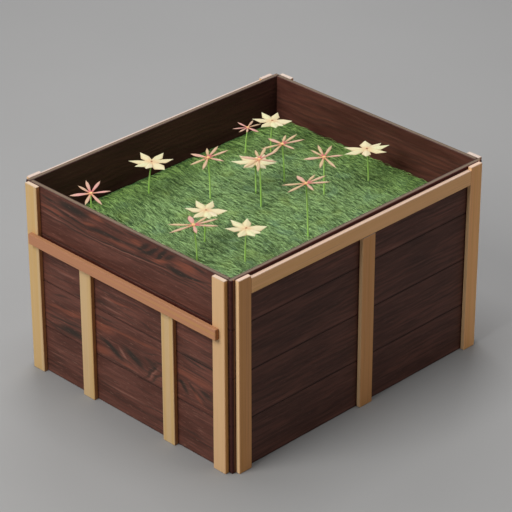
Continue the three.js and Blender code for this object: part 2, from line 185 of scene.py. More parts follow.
# The figure of a plank: the height of its boldest grain and half its spread, how dark that grain is, how
# red the wood between it, the knots that its grain swells round (along, height), and its flecks, soft
# streaks and pools of another tone: (tone, along, height, half length, half height, how much, tilt in
# degrees, rising along the plank).
PLAIN_FIGURE = {"heart": 0.045, "spread": 0.04, "dark": 0.35, "red": 0.25, "knots": (), "flecks": ()}
LEFT_FIGURES = {
    1: {"heart": 0.030, "spread": 0.03, "dark": 0.20, "red": 0.1, "knots": (), "flecks": (
        ("fibre", 0.010, 0.042, 0.060, 0.0024, 0.5, 0), ("dark", -0.160, 0.038, 0.040, 0.0018, 0.5, 2),
        ("fibre", 0.185, 0.043, 0.030, 0.0020, 0.4, 0), ("dark", 0.030, 0.034, 0.010, 0.0016, 0.6, -12),
    )},
    2: {"heart": 0.036, "spread": 0.030, "dark": 0.30, "red": 0.3, "knots": ((-0.055, 0.025),), "flecks": (
        ("red", 0.010, 0.067, 0.110, 0.0040, 0.6, -2), ("red", 0.065, 0.058, 0.036, 0.0080, 0.6, 0),
        ("red", 0.066, 0.013, 0.028, 0.0090, 0.6, 0), ("red", 0.140, 0.054, 0.036, 0.0060, 0.7, -10),
        ("red", 0.190, 0.050, 0.030, 0.0040, 0.5, -6), ("red", 0.010, 0.009, 0.030, 0.0040, 0.4, 0),
        ("red", -0.160, 0.055, 0.070, 0.0080, 0.5, 0), ("red", -0.165, 0.024, 0.026, 0.0040, 0.6, 38),
        ("fibre", 0.012, 0.027, 0.016, 0.0035, 0.8, 40), ("fibre", -0.062, 0.021, 0.024, 0.0022, 0.5, -48),
        ("dark", 0.141, 0.0155, 0.037, 0.0078, 1.0, 0), ("dark", 0.185, 0.012, 0.034, 0.0022, 0.7, 3),
        ("dark", 0.160, 0.030, 0.060, 0.0026, 0.8, -5), ("dark", 0.175, 0.004, 0.034, 0.0020, 0.6, 13),
        ("dark", 0.058, 0.035, 0.020, 0.0060, 0.7, 14), ("dark", 0.034, 0.024, 0.026, 0.0075, 1.0, 24),
        ("dark", 0.000, 0.037, 0.020, 0.0075, 0.7, 20), ("dark", -0.020, 0.029, 0.024, 0.0085, 0.9, 26),
        ("dark", 0.002, 0.018, 0.018, 0.0020, 0.7, 6), ("dark", -0.052, 0.041, 0.019, 0.0034, 0.7, 10),
        ("dark", -0.060, 0.034, 0.017, 0.0028, 0.6, 14), ("dark", -0.072, 0.044, 0.014, 0.0026, 0.5, -30),
        ("dark", -0.054, 0.020, 0.025, 0.0036, 0.7, -46), ("dark", -0.069, 0.017, 0.026, 0.0036, 0.7, -44),
        ("dark", 0.010, 0.003, 0.065, 0.0022, 0.6, 0), ("dark", -0.134, 0.029, 0.016, 0.0060, 0.9, 48),
        ("dark", -0.154, 0.035, 0.013, 0.0042, 0.8, 36), ("dark", -0.188, 0.035, 0.018, 0.0055, 0.9, 14),
        ("dark", -0.176, 0.026, 0.020, 0.0026, 0.6, 30), ("dark", -0.128, 0.036, 0.010, 0.0030, 0.7, 0),
        ("dark", -0.165, 0.066, 0.055, 0.0016, 0.6, 2), ("dark", -0.165, 0.060, 0.050, 0.0014, 0.5, 0),
        ("dark", -0.160, 0.084, 0.034, 0.0024, 0.8, 5), ("dark", -0.165, 0.0895, 0.060, 0.0016, 0.8, 0),
        ("dark", 0.060, 0.078, 0.034, 0.0022, 0.6, -6), ("dark", 0.165, 0.077, 0.032, 0.0026, 0.6, -9),
        ("dark", 0.040, 0.071, 0.032, 0.0016, 0.5, -8), ("dark", -0.060, 0.056, 0.022, 0.0018, 0.5, -14),
    )},
    3: {"heart": 0.040, "spread": 0.05, "dark": 0.20, "red": 0.2, "knots": (), "flecks": (
        ("fibre", 0.045, 0.026, 0.022, 0.0026, 0.6, 4), ("red", 0.024, 0.030, 0.034, 0.0026, 0.6, -6),
        ("fibre", 0.040, 0.012, 0.030, 0.0018, 0.5, 0), ("fibre", 0.150, 0.034, 0.030, 0.0022, 0.4, -8),
        ("dark", 0.066, 0.015, 0.018, 0.0050, 0.6, 0), ("dark", 0.050, 0.004, 0.040, 0.0018, 0.6, 0),
        ("dark", -0.005, 0.016, 0.024, 0.0016, 0.5, 6), ("dark", -0.045, 0.016, 0.016, 0.0024, 0.5, 12),
        ("dark", 0.165, 0.020, 0.034, 0.0020, 0.5, -4), ("dark", 0.105, 0.007, 0.050, 0.0018, 0.5, -8),
        ("dark", 0.185, 0.046, 0.020, 0.0018, 0.4, 0), ("dark", -0.165, 0.003, 0.050, 0.0024, 0.7, 0),
    )},
    4: {"heart": 0.066, "spread": 0.026, "dark": 0.30, "red": 0.3, "knots": ((-0.070, 0.068),), "flecks": (
        ("red", 0.068, 0.083, 0.024, 0.0045, 0.9, 0), ("red", -0.028, 0.074, 0.018, 0.0060, 0.8, 0),
        ("red", -0.083, 0.063, 0.022, 0.0065, 0.8, -20), ("red", -0.142, 0.075, 0.030, 0.0085, 0.8, -6),
        ("red", 0.090, 0.066, 0.024, 0.0030, 0.7, -8), ("red", 0.020, 0.056, 0.090, 0.0026, 0.5, -3),
        ("red", 0.180, 0.056, 0.040, 0.0030, 0.5, 4), ("fibre", -0.010, 0.0455, 0.120, 0.0014, 0.7, -3),
        ("fibre", 0.185, 0.045, 0.040, 0.0014, 0.6, 4), ("fibre", 0.150, 0.066, 0.050, 0.0018, 0.5, 2),
        ("dark", 0.126, 0.0775, 0.048, 0.0082, 1.0, 0), ("dark", 0.192, 0.074, 0.024, 0.0028, 0.8, 5),
        ("dark", 0.178, 0.066, 0.036, 0.0024, 0.8, 5), ("dark", 0.130, 0.060, 0.040, 0.0028, 0.9, 3),
        ("dark", 0.058, 0.0605, 0.045, 0.0048, 0.9, -4), ("dark", -0.008, 0.0640, 0.050, 0.0028, 0.8, -2),
        ("dark", 0.030, 0.082, 0.030, 0.0026, 0.6, 4), ("dark", -0.020, 0.086, 0.026, 0.0022, 0.7, 0),
        ("dark", -0.046, 0.074, 0.021, 0.0050, 0.9, -42), ("dark", -0.050, 0.065, 0.020, 0.0032, 0.8, -24),
        ("dark", -0.066, 0.074, 0.024, 0.0052, 1.0, -40), ("dark", -0.080, 0.068, 0.016, 0.0026, 0.7, -30),
        ("dark", -0.090, 0.078, 0.022, 0.0048, 1.0, -42), ("dark", -0.106, 0.078, 0.020, 0.0040, 0.9, -30),
        ("dark", -0.118, 0.059, 0.026, 0.0065, 0.9, 4), ("dark", -0.145, 0.059, 0.030, 0.0050, 0.8, -6),
        ("dark", -0.175, 0.063, 0.030, 0.0026, 0.7, -10), ("dark", -0.174, 0.083, 0.022, 0.0034, 0.8, 6),
        ("dark", 0.150, 0.049, 0.080, 0.0020, 0.9, 4), ("dark", 0.040, 0.0455, 0.070, 0.0018, 0.8, -2),
        ("dark", -0.050, 0.0510, 0.070, 0.0020, 0.8, -4), ("dark", 0.110, 0.0400, 0.100, 0.0014, 0.7, 1),
        ("dark", -0.130, 0.0480, 0.060, 0.0016, 0.7, 0), ("dark", -0.140, 0.0420, 0.060, 0.0014, 0.6, 0),
        ("dark", 0.000, 0.0390, 0.040, 0.0012, 0.5, -4), ("dark", -0.165, 0.0540, 0.040, 0.0014, 0.6, -6),
    )},
}
PLANK_TONES = {
    "short": {
        "ground": "#694137", "shade": "#58342b", "dark": "#362c26", "red": "#8a4f3c", "fibre": "#946658",
        "tick": "#a37765", "inside": "#38130c",
    },
    "long": {
        "ground": "#5f3d34", "shade": "#53352d", "dark": "#30221d", "red": "#744538", "fibre": "#765345",
        "tick": "#76544a", "inside": "#2f1212",
    },
}
# How much of the fine grain the inner side shows, how much painted highlight lies along the lower edge of
# a plank, and how much of the inside's tone, which is painted shade, the inner side takes.
PLANK_GRAIN_AND_PAINTED_LIGHT = {
    "short": {"inner_grain": 0.5, "lit_edge": 0.12, "inside": 0.3},
    "long": {"inner_grain": 0.25, "lit_edge": 0.28, "inside": 0.6},
}
PAINTED_SHADE_TONE = "#3e0e06"               # painted shade in the corners between planks and battens, by the rail and above the band
BESIDE_POST_TONE = "#956948"         # on the strip of plank past a corner post, next to the post
CORNER_TONE = "#3c1618"              # and from there on to the corner of the box
# A painted sheen on the top of the top course of planks.
RIM_SHEEN_TONE = "#64543e"
# How light each course is, from the bottom up.
COURSE_LIGHT = {
    "front": (1.10, 1.07, 1.09, 1.26), "back": (1, 1, 1, 1),
    "left": (1.05, 1.11, 1.07, 1.01), "right": (1, 1, 1, 1),
}
GRAIN_PITCH = 0.0095                 # from one line of grain to the next
COURSE_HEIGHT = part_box("front_plank_2")[0].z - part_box("front_plank_1")[0].z
UPRIGHTS = {"front": ("post_1", "stile", "post_2"), "left": ("post_1", "stile_1", "stile_2", "post_2")}
UPRIGHTS["back"], UPRIGHTS["right"] = UPRIGHTS["front"], UPRIGHTS["left"]
# How far along a face its posts reach; past them the dark corner of the box shows.
CORNER_FROM = {"front": max(abs(corner.x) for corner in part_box("front_post_1"))}
CORNER_FROM["left"] = max(abs(corner.y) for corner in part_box("left_post_1"))
CORNER_FROM["back"], CORNER_FROM["right"] = CORNER_FROM["front"], CORNER_FROM["left"]


def painted_shade_by_battens(wood, side, course, along, outside):
    """Painted shade on the outside of a plank: beside the battens on it, along the foot of the top rail,
    over the strip above the rail, and in a line above the band.
    """
    on_long_face = side in LONG_SIDES
    near = 0
    for name in UPRIGHTS[side]:
        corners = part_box(f"{side}_{name}")
        if corners[1].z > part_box(f"{side}_plank_{course}")[0].z:
            for corner in corners:
                place, share = (corner.x, 1.0) if on_long_face else (corner.y, 0.25)
                near = near + share * wood.hump(along, place, 2.4 * MM)
    if on_long_face:
        # A painted shadow along the foot of the top rail, and painted shade over the strip of plank above
        # the rail.
        low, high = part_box(f"{side}_top_rail")
        above = wood.step(wood.z, high.z - 1 * MM, high.z + 1 * MM)
        near = near + wood.hump(wood.z, low.z, 3.5 * MM) + 1.5 * above
    else:
        # A painted shadow in a line just above the band.
        near = near + 1.2 * wood.hump(wood.z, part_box(f"{side}_band")[1].z - 6 * MM, 2.4 * MM)
    return outside * near


def fleck(wood, along, height, shape):
    """How much of a fleck's tone a place takes: all of it in its middle, none past its soft edge."""
    at_along, at_height, half_length, half_height, amount, tilt = shape
    cosine, sine = math.cos(math.radians(tilt)), math.sin(math.radians(tilt))
    aside, up = along - at_along, height - at_height
    length = (aside * cosine + up * sine) / half_length
    breadth = (up * cosine - aside * sine) / half_height
    near = wood.math("EXPONENT", 0 - (length * length + breadth * breadth))
    return amount * wood.step(near, 0.15, 0.95)


def flecked(wood, colour, flecks, along, height, tones):
    """The colour with the flecks in it, those of each tone laid on together."""
    for kind in ("red", "fibre", "dark"):
        shapes = [shape for key, *shape in flecks if key == kind]
        if shapes:
            share = sum(fleck(wood, along, height, shape) for shape in shapes)
            colour = wood.mix(share, colour, tones[kind])
    return colour


def past_post(wood, side, along, distance, blend):
    """1 on the strip of a plank that lies further out than its corner posts, by that distance."""
    edge = CORNER_FROM[side] + distance
    return wood.step(along * along, edge ** 2, (edge + blend) ** 2)


def plank_wood(side, course):
    """Dark wood with lines of grain that run along the plank, waver, and swell round a few knots."""
    wood = Finish(f"{side}_plank_{course}_wood")
    on_long_face = side in LONG_SIDES
    face = "long" if on_long_face else "short"
    figure = LEFT_FIGURES[course] if side == "left" else PLAIN_FIGURE
    tones = {key: tone(code) for key, code in PLANK_TONES[face].items()}
    plank_look = PLANK_GRAIN_AND_PAINTED_LIGHT[face]

    along, depth = (wood.x, wood.y) if on_long_face else (wood.y, wood.x)
    low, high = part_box(f"{side}_plank_{course}")
    inner, outer = (low.y, high.y) if on_long_face else (low.x, high.x)
    if side in ("front", "left"):
        inner, outer = outer, inner
    outside = wood.step((depth - inner) / (outer - inner), 0.6, 0.8)
    height = wood.z - (course - 1) * COURSE_HEIGHT
    seed = 7.3 * SIDES.index(side) + 3.1 * course

    sway = wood.noise(along * 5, height * 18, depth * 20 + seed, detail=1)
    ripple = wood.noise(along * 24, height * 70, depth * 30 + seed, detail=1)
    line = height / GRAIN_PITCH + 3.0 * sway + 1.0 * ripple
    for knot_along, knot_height in figure["knots"]:
        line = line + 2.0 * wood.hump(along, knot_along, 0.035) * wood.hump(height, knot_height, 0.020)
    wave = wood.wave(line)
    zone = wood.hump(height, figure["heart"], figure["spread"])
    broken = wood.noise(along * 11, line * 0.7, seed + 5, detail=2)
    fibres = wood.noise(along * 20, height * 420, depth * 420 + seed, detail=3, roughness=0.65)
    strands = wood.noise(along * 12, height * 200, seed + 2, detail=1)
    ticks = wood.noise(along * 70, height * 500, depth * 300 + seed, detail=2)
    patches = wood.noise(along * 9, line * 0.40, seed, detail=2)
    dark = wood.step(wave + 3.0 * (broken - 0.5), 0.30, 1.15) * (0.12 + 0.88 * zone)
    red = wood.step(wave + 2.0 * (broken - 0.5), 0.70, 0.0) * wood.step(patches, 0.44, 0.64)
    coarse = plank_look["inner_grain"] + (1 - plank_look["inner_grain"]) * outside

    colour = wood.mix(wood.step(patches, 0.62, 0.38), tones["ground"], tones["shade"])
    colour = wood.mix(wood.step(fibres, 0.50, 0.75) * 0.40 * coarse, colour, tones["fibre"])
    colour = wood.mix(red * (0.12 + 0.88 * zone) * figure["red"] * 0.9, colour, tones["red"])
    colour = wood.mix(dark * figure["dark"], colour, tones["dark"])
    aside = along + 0.012 * (ripple - 0.5)
    up = height + 0.006 * (sway - 0.5) + 0.005 * (ripple - 0.5)
    colour = flecked(wood, colour, figure["flecks"], aside, up, tones)
    grooves = wood.step(strands, 0.46, 0.34) * (0.3 + 0.7 * zone) + wood.step(fibres, 0.48, 0.26)
    colour = wood.mix(grooves * 0.35 * coarse, colour, tones["dark"])
    colour = wood.mix(wood.step(ticks, 0.62, 0.75) * 0.40 * outside, colour, tones["tick"])

    joint = wood.hump(height, 0.0, 1.6 * MM) + wood.hump(height, COURSE_HEIGHT, 1.6 * MM)
    # A painted highlight along the lower edge of each plank, just above the joint below it.
    lit_edge = plank_look["lit_edge"] * wood.hump(height, 5.5 * MM, 2.5 * MM)
    light = COURSE_LIGHT[side][course - 1]
    colour = wood.shade(colour, light * (1 + lit_edge) * (1 - 0.60 * joint))
    # Painted shade on the inner side of each plank.
    colour = wood.mix((1 - outside) * plank_look["inside"], colour, tones["inside"])
    # Painted shade in the corners by the battens, by the rail and above the band.
    colour = wood.mix(painted_shade_by_battens(wood, side, course, along, outside) * 0.8, colour, tone(PAINTED_SHADE_TONE))
    further = past_post(wood, side, along, 2.5 * MM, 1.5 * MM)
    corner_tone = wood.mix(further, tone(BESIDE_POST_TONE), tone(CORNER_TONE))
    colour = wood.mix(past_post(wood, side, along, 0.0, 2.0 * MM) * outside * 0.85, colour, corner_tone)
    if course == COURSES:
        # Painted sheen on a strip along the middle of the top face.
        middle = wood.hump(depth, (inner + outer) / 2, 2.5 * MM)
        rim = wood.step(wood.facing("Z"), 0.8, 0.95) * middle
        colour = wood.mix(rim * 0.9, colour, tone(RIM_SHEEN_TONE))
    bumps = fibres + 2.0 * strands + 0.4 * wave
    return wood.surface(colour, 0.50 + 0.14 * fibres, bumps, depth=0.0004, Specular_IOR_Level=0.2)


# The tones of each batten: three of its ground, its fine lines, its sides and its ends. The sets of the
# faces, of the near and the far corner post and of the rails are lighter and darker copies of one pale
# wood, as painted light and shade. The side tones paint light on some sides and shade on others, and the
# end tones, laid on the tops, stand for the end grain of the posts and for a painted sheen. Those of the
# far faces have paler ends.
BATTEN_TONES = {
    "short_face": {
        "ground": "#dab988", "golden": "#d8b171", "pink": "#dfb695", "line": "#b79062",
        "side": "#a3622e", "end": "#a69280",
    },
    "short_face_far": {
        "ground": "#e3b988", "golden": "#e1b171", "pink": "#e8b695", "line": "#c09062",
        "side": "#a3622e", "end": "#a69b95",
    },
    "near_post": {
        "ground": "#e3b988", "golden": "#e1b171", "pink": "#e8b695", "line": "#c09062",
        "side": "#e8a04a", "end": "#a69280",
    },
    "long_face": {
        "ground": "#db9c60", "golden": "#d69650", "pink": "#de9763", "line": "#9b663b",
        "side": "#f9d2a0", "end": "#b09a8a",
    },
    "long_face_far": {
        "ground": "#db9c60", "golden": "#d69650", "pink": "#de9763", "line": "#9b663b",
        "side": "#f9d2a0", "end": "#a69b95",
    },
    "far_post": {
        "ground": "#fdbb78", "golden": "#f6b469", "pink": "#fbb57c", "line": "#c28855",
        "side": "#f9d2a0", "end": "#b09a8a",
    },
    "rail": {
        "ground": "#fcc083", "golden": "#f7bb75", "pink": "#fcbc8c", "line": "#c48f60",
        "side": "#f9d2a0", "end": "#a69286",
    },
    "rail_far": {
        "ground": "#edb57f", "golden": "#e9b071", "pink": "#edb188", "line": "#b8875d",
        "side": "#f9d2a0", "end": "#a69b95",
    },
    "band": {
        "ground": "#c08561", "golden": "#c69259", "pink": "#cd856f", "line": "#a06c4a",
        "side": "#a8642a", "end": "#9a6c49",
    },
}


def batten_wood(name, tones, grain, sides):
    """Pale straight-grained wood, its grain along the one axis, with its sides in another tone, painted
    light on some battens and painted shade on others, and its tops in the end tone, end grain with a
    painted sheen.
    """
    wood = Finish(name)
    colours = {key: tone(code) for key, code in BATTEN_TONES[tones].items()}
    places = {"X": wood.x, "Y": wood.y, "Z": wood.z}
    x, y, z = [value * (0.008 if axis == grain else 1) for axis, value in places.items()]
    broad = wood.noise(x * 90, y * 90, z * 90, detail=2)
    tint = wood.noise(x * 45 + 9, y * 45, z * 45, detail=1)
    fine = wood.noise(x * 700, y * 700, z * 700, detail=3, roughness=0.6)
    colour = wood.mix(wood.step(broad, 0.42, 0.62) * 0.8, colours["ground"], colours["golden"])
    colour = wood.mix(wood.step(tint, 0.50, 0.70) * 0.6, colour, colours["pink"])
    colour = wood.mix(wood.step(fine, 0.52, 0.75) * 0.45, colour, colours["line"])
    # Painted light and shade on the sides, and the end tone on the tops: end grain with a painted sheen.
    side = wood.facing(sides)
    colour = wood.mix(wood.step(side * side, 0.35, 0.75) * 0.85, colour, colours["side"])
    colour = wood.mix(wood.step(wood.facing("Z"), 0.30, 0.65) * 0.85, colour, colours["end"])
    return wood.surface(colour, 0.50 + 0.10 * fine, fine, depth=0.00015, strength=0.4)


def base_wood():
    """Plain brown boards, matt, with coarse saw marks across them."""
    wood = Finish("base_board_wood")
    fine = wood.noise(wood.x * 500, wood.y * 10, wood.z * 500, detail=3)
    broad = wood.noise(wood.x * 70, wood.y * 3, wood.z * 70)
    saw = wood.noise(wood.x * 12, wood.y * 420, wood.z * 12, detail=1)
    colour = wood.mix(wood.step(broad, 0.4, 0.7), tone("#6b4b36"), tone("#563a28"))
    colour = wood.mix(wood.step(fine, 0.5, 0.8) * 0.6, colour, tone("#3f2a1d"))
    return wood.surface(colour, 0.75 + 0.1 * fine, fine + 0.5 * saw, depth=0.0004)


def earth():
    """Dark crumbly earth."""
    soil = Finish("potting_earth")
    crumbs = soil.noise(soil.x * 260, soil.y * 260, soil.z * 260, detail=4, roughness=0.65)
    damp = soil.noise(soil.x * 30, soil.y * 30, soil.z * 30)
    colour = soil.mix(soil.step(crumbs, 0.35, 0.7), tone("#22170f"), tone("#4a3626"))
    colour = soil.mix(soil.step(damp, 0.4, 0.65) * 0.5, colour, tone("#2a1c13"))
    return soil.surface(colour, 0.95 - 0.2 * damp, crumbs, depth=0.002, strength=0.9)


def dress(node, material):
    """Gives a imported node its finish."""
    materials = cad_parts[node].data.materials
    materials.clear()
    materials.append(material)


def dress_wood():
    """Gives every wooden node and the soil its finish; two of the corner posts get lighter copies of the
    batten wood, as painted light.
    """
    for side in SIDES:
        far = "_far" if side in ("back", "right") else ""
        for course in range(1, COURSES + 1):
            dress(f"{side}_plank_{course}", plank_wood(side, course))
        if side in LONG_SIDES:
            upright = batten_wood(f"{side}_upright_wood", f"long_face{far}", "Z", "X")
            dress(f"{side}_top_rail", batten_wood(f"{side}_top_rail_wood", f"rail{far}", "X", "X"))
        else:
            upright = batten_wood(f"{side}_upright_wood", f"short_face{far}", "Z", "Y")
            dress(f"{side}_band", batten_wood(f"{side}_band_wood", "band", "Y", "Y"))
        for name in UPRIGHTS[side]:
            dress(f"{side}_{name}", upright)
    # Painted light: lighter copies of the wood for the near left post and the far front post.
    dress("left_post_2", batten_wood("left_near_post_wood", "near_post", "Z", "Y"))
    dress("front_post_2", batten_wood("front_far_post_wood", "far_post", "Z", "X"))
    base = base_wood()
    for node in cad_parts:
        if node.startswith("base_board"):
            dress(node, base)
    dress("soil", earth())


# ---- meshes ----

class Skin:
    """The points and faces of one mesh, to which closed bodies are added ring by ring."""

    def __init__(self):
        self.points = []
        self.faces = []
        self.marks = {"tint": [], "flush": [], "reach": [], "edge": []}

    def add(self, points, tint, reach, edges=None, flush=0.0):
        """Adds points with their marks, and gives the number of the first."""
        first = len(self.points)
        self.points.extend(points)
        self.marks["tint"].extend([tint] * len(points))
        self.marks["flush"].extend([flush] * len(points))
        self.marks["reach"].extend([reach] * len(points))
        self.marks["edge"].extend(edges or [0.0] * len(points))
        return first

    def body(self, rings, tint=0.5, tip=None, edges=None, flush=0.0):
        """Rings of points, capped at the first, and at the last or drawn to a tip."""
        sides = len(rings[0])
        reaches = [i / max(1, len(rings) - (tip is None)) for i in range(len(rings))]
        starts = [self.add(ring, tint, reach, edges, flush) for ring, reach in zip(rings, reaches)]
        self.faces.append([starts[0] + i for i in reversed(range(sides))])
        for low, high in zip(starts, starts[1:]):
            for i in range(sides):
                j = (i + 1) % sides
                self.faces.append([low + i, low + j, high + j, high + i])
        if tip is None:
            self.faces.append([starts[-1] + i for i in range(sides)])
        else:
            end = self.add([tip], tint, 1.0)
            self.faces.extend([starts[-1] + i, starts[-1] + (i + 1) % sides, end] for i in range(sides))

    def piece(self, name, material, slot, node, crease=None):
        """The finished mesh as a piece that stands for that node; edges past the crease stay sharp."""
        mesh = bpy.data.meshes.new(name)
        mesh.from_pydata(self.points, [], self.faces)
        mesh.materials.append(material)
        for mark, numbers in self.marks.items():
            mesh.attributes.new(mark, "FLOAT", "POINT").data.foreach_set("value", numbers)
        mesh.polygons.foreach_set("use_smooth", [True] * len(self.faces))
        if crease is not None:
            mesh.set_sharp_from_angle(angle=math.radians(crease))
        made = bpy.data.objects.new(name, mesh)
        bpy.context.scene.collection.objects.link(made)
        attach(made, BODY)
        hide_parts(node)


# ---- turf ----

TURF_LOW, TURF_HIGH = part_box("turf")
MAT_TOP = TURF_LOW.z + 6 * MM        # of the matted roots, out of which the blades grow
BLADES_ACROSS = 390
BLADES_DEEP = 105
BLADE_LENGTH = (34 * MM, 60 * MM)
BLADE_RISE = (8 * MM, 13 * MM)
BLADE_WIDTH = (0.8 * MM, 1.5 * MM)
BLADE_BEND = ((0.0, -0.2, 0.8), (0.22, 0.60, 1.0), (0.60, 1.0, 0.8))   # part, height, width
BLADE_TIP = 0.85                     # of the rise, once the blade has bent over
BLADE_COMBED = -99                   # degrees from +X
BLADE_FAN = 8                        # either way from the combed direction
FLOW_FAN = 8                         # and more, drifting slowly over the turf
WALL_CLEAR = 1.5 * MM
SHORTEST_BLADE = 6 * MM
BLADE_RIDGE = 0.32                   # of its width
TURF_SEED = 11
MAT_CELLS = (116, 95)
MAT_UNEVEN = 0.8 * MM


def drift(x, y, phase):
    """A slow wave over the turf, from -1 to 1."""
    return 0.5 * math.sin(23 * x + 11 * y + phase) + 0.5 * math.sin(17 * y - 13 * x + 2.3 * phase)


def grass_finish():
    """Blades with painted shade at the root, in locks of lighter and darker ones, and with painted shade
    by the far walls, where they are darker and greener.
    """
    grass = Finish("grass_blades")
    tint, reach = grass.mark("tint"), grass.mark("reach")
    turn = math.radians(BLADE_COMBED)
    along = grass.x * math.cos(turn) + grass.y * math.sin(turn)
    across = grass.x * math.sin(turn) - grass.y * math.cos(turn)
    lock = grass.noise(across * 300, along * 30, 0.0, detail=2)
    patch = grass.noise(grass.x * 24, grass.y * 24, 0.0, detail=2)
    # Painted shade on the blades by the far walls.
    wall_shade = grass.step(grass.y, 0.10, 0.23)
    wall_shade = grass.math("MAXIMUM", wall_shade, grass.step(grass.x, 0.13, 0.29))
    light = 1.05 * tint + 0.5 * (lock - 0.5) + 0.01
    colour = grass.mix(light, tone("#264d1f"), tone("#a8cc84"))
    colour = grass.mix(grass.step(patch, 0.54, 0.70) * 0.25, colour, tone("#a0b653"))
    colour = grass.mix(grass.step(patch, 0.46, 0.32) * 0.40, colour, tone("#86ad86"))
    colour = grass.mix(wall_shade * 0.75, colour, grass.mix(light, tone("#1f4711"), tone("#88ad50")))
    # Painted shade at the root of every blade.
    colour = grass.mix(grass.step(reach, 0.40, 0.0) * 0.75, colour, tone("#2a4c1c"))
    return grass.surface(colour, 0.55 + 0.1 * tint, Specular_IOR_Level=0.4)


def thatch_finish():
    """The matted roots between the blades."""
    thatch = Finish("turf_thatch")
    strands = thatch.noise(thatch.x * 420, thatch.y * 90, thatch.z * 200, detail=3)
    colour = thatch.mix(thatch.step(strands, 0.4, 0.7), tone("#2c4f20"), tone("#4d6d36"))
    return thatch.surface(colour, 0.9, strands, depth=0.001, strength=0.8)


def blade_rings(x, y, along, length, rise, width):
    """Three-sided rings of one blade, and its tip."""
    out_x, out_y = math.cos(along), math.sin(along)
    rings = []
    for part, lift, share in BLADE_BEND:
        half = width * share / 2
        middle_x, middle_y = x + length * part * out_x, y + length * part * out_y
        z = MAT_TOP + rise * lift
        rings.append([
            (middle_x + half * out_y, middle_y - half * out_x, z),
            (middle_x, middle_y, z + BLADE_RIDGE * width),
            (middle_x - half * out_y, middle_y + half * out_x, z),
        ])
    return rings, (x + length * out_x, y + length * out_y, MAT_TOP + BLADE_TIP * rise)


def room_along(x, y, along):
    """How far it is from a point of the turf to the nearest wall in that direction."""
    to_x = TURF_HIGH.x if math.cos(along) > 0 else TURF_LOW.x
    to_y = TURF_HIGH.y if math.sin(along) > 0 else TURF_LOW.y
    return min((to_x - x) / math.cos(along), (to_y - y) / math.sin(along)) - WALL_CLEAR


def turf_blades():
    """Fine blades over the whole of the turf, all combed toward the front."""
    draw = random.Random(TURF_SEED)
    skin = Skin()
    size = TURF_HIGH - TURF_LOW
    across, deep = size.x - 2 * WALL_CLEAR, size.y - 4 * WALL_CLEAR
    for row in range(BLADES_DEEP):
        for column in range(BLADES_ACROSS):
            x = TURF_LOW.x + WALL_CLEAR + across * (column + draw.random()) / BLADES_ACROSS
            y = TURF_LOW.y + 3 * WALL_CLEAR + deep * (row + draw.random()) / BLADES_DEEP
            turn = BLADE_COMBED + draw.uniform(-BLADE_FAN, BLADE_FAN) + FLOW_FAN * drift(x, y, 0.4)
            along = math.radians(turn)
            length = min(draw.uniform(*BLADE_LENGTH), room_along(x, y, along))
            rise, width = draw.uniform(*BLADE_RISE), draw.uniform(*BLADE_WIDTH)
            tint = draw.random()
            if length > SHORTEST_BLADE:
                rings, tip = blade_rings(x, y, along, length, rise, width)
                skin.body(rings, tint, tip)
    skin.piece("turf_blades", grass_finish(), "grass", "turf")


def turf_mat():
    """The mat of roots: a slab whose top is gently uneven."""
    skin = Skin()
    size = TURF_HIGH - TURF_LOW
    across, deep = MAT_CELLS
    rows = []
    for j in range(deep + 1):
        y = TURF_LOW.y + size.y * j / deep
        row = []
        for i in range(across + 1):
            x = TURF_LOW.x + size.x * i / across
            row.append((x, y, MAT_TOP + MAT_UNEVEN * drift(9 * x, 9 * y, 1.7)))
        rows.append(skin.add(row, 0.5, 0.0))
    for low, high in zip(rows, rows[1:]):
        skin.faces.extend([low + i, low + i + 1, high + i + 1, high + i] for i in range(across))
    edge = list(range(rows[0], rows[0] + across))
    edge += [start + across for start in rows[:-1]]
    edge += list(range(rows[-1] + across, rows[-1], -1))
    edge += [start for start in reversed(rows[1:])]
    foot = skin.add([(*skin.points[i][:2], TURF_LOW.z) for i in edge], 0.5, 0.0)
    count = len(edge)
    for k in range(count):
        after = (k + 1) % count
        skin.faces.append([foot + k, foot + after, edge[after], edge[k]])
    skin.faces.append([foot + k for k in reversed(range(count))])
    skin.piece("turf_mat", thatch_finish(), "grass", "turf", crease=40)


# ---- flowers ----

# Petals of the two kinds: (turn in degrees, reach, rise of the tip, share of the full width, tint, flush),
# in millimetres. The tint runs from the first of the kind's colours to the last, and the flush says how
# deep the colour of the throat is.
PINK_PETALS = (
    (0, 41, 4, 1, 0.6, 0.8), (35, 41, 4, 1, 0.8, 1.0), (64, 33, 2, 0.9, 0.9, 0.7),
    (118, 36, -2, 1.5, 0.3, 0.0), (190, 41, -1, 1, 1.0, 0.3), (228, 45, -1, 1, 0.8, 0.1),
    (294, 34, 3, 1, 0.35, 0.1),
)
CREAM_PETALS = (
    (0, 41, -3, 1, 0.5, 0.2), (40, 43, -2, 1, 0.2, 0.1), (102, 36, 3, 1.05, 0.7, 0.3),
    (164, 40, 4, 1, 0.4, 0.3), (203, 40, 5, 1, 0.0, 0.1), (232, 32, 2, 1, 0.9, 0.6),
    (289, 36, -2, 1.4, 0.6, 0.4),
)
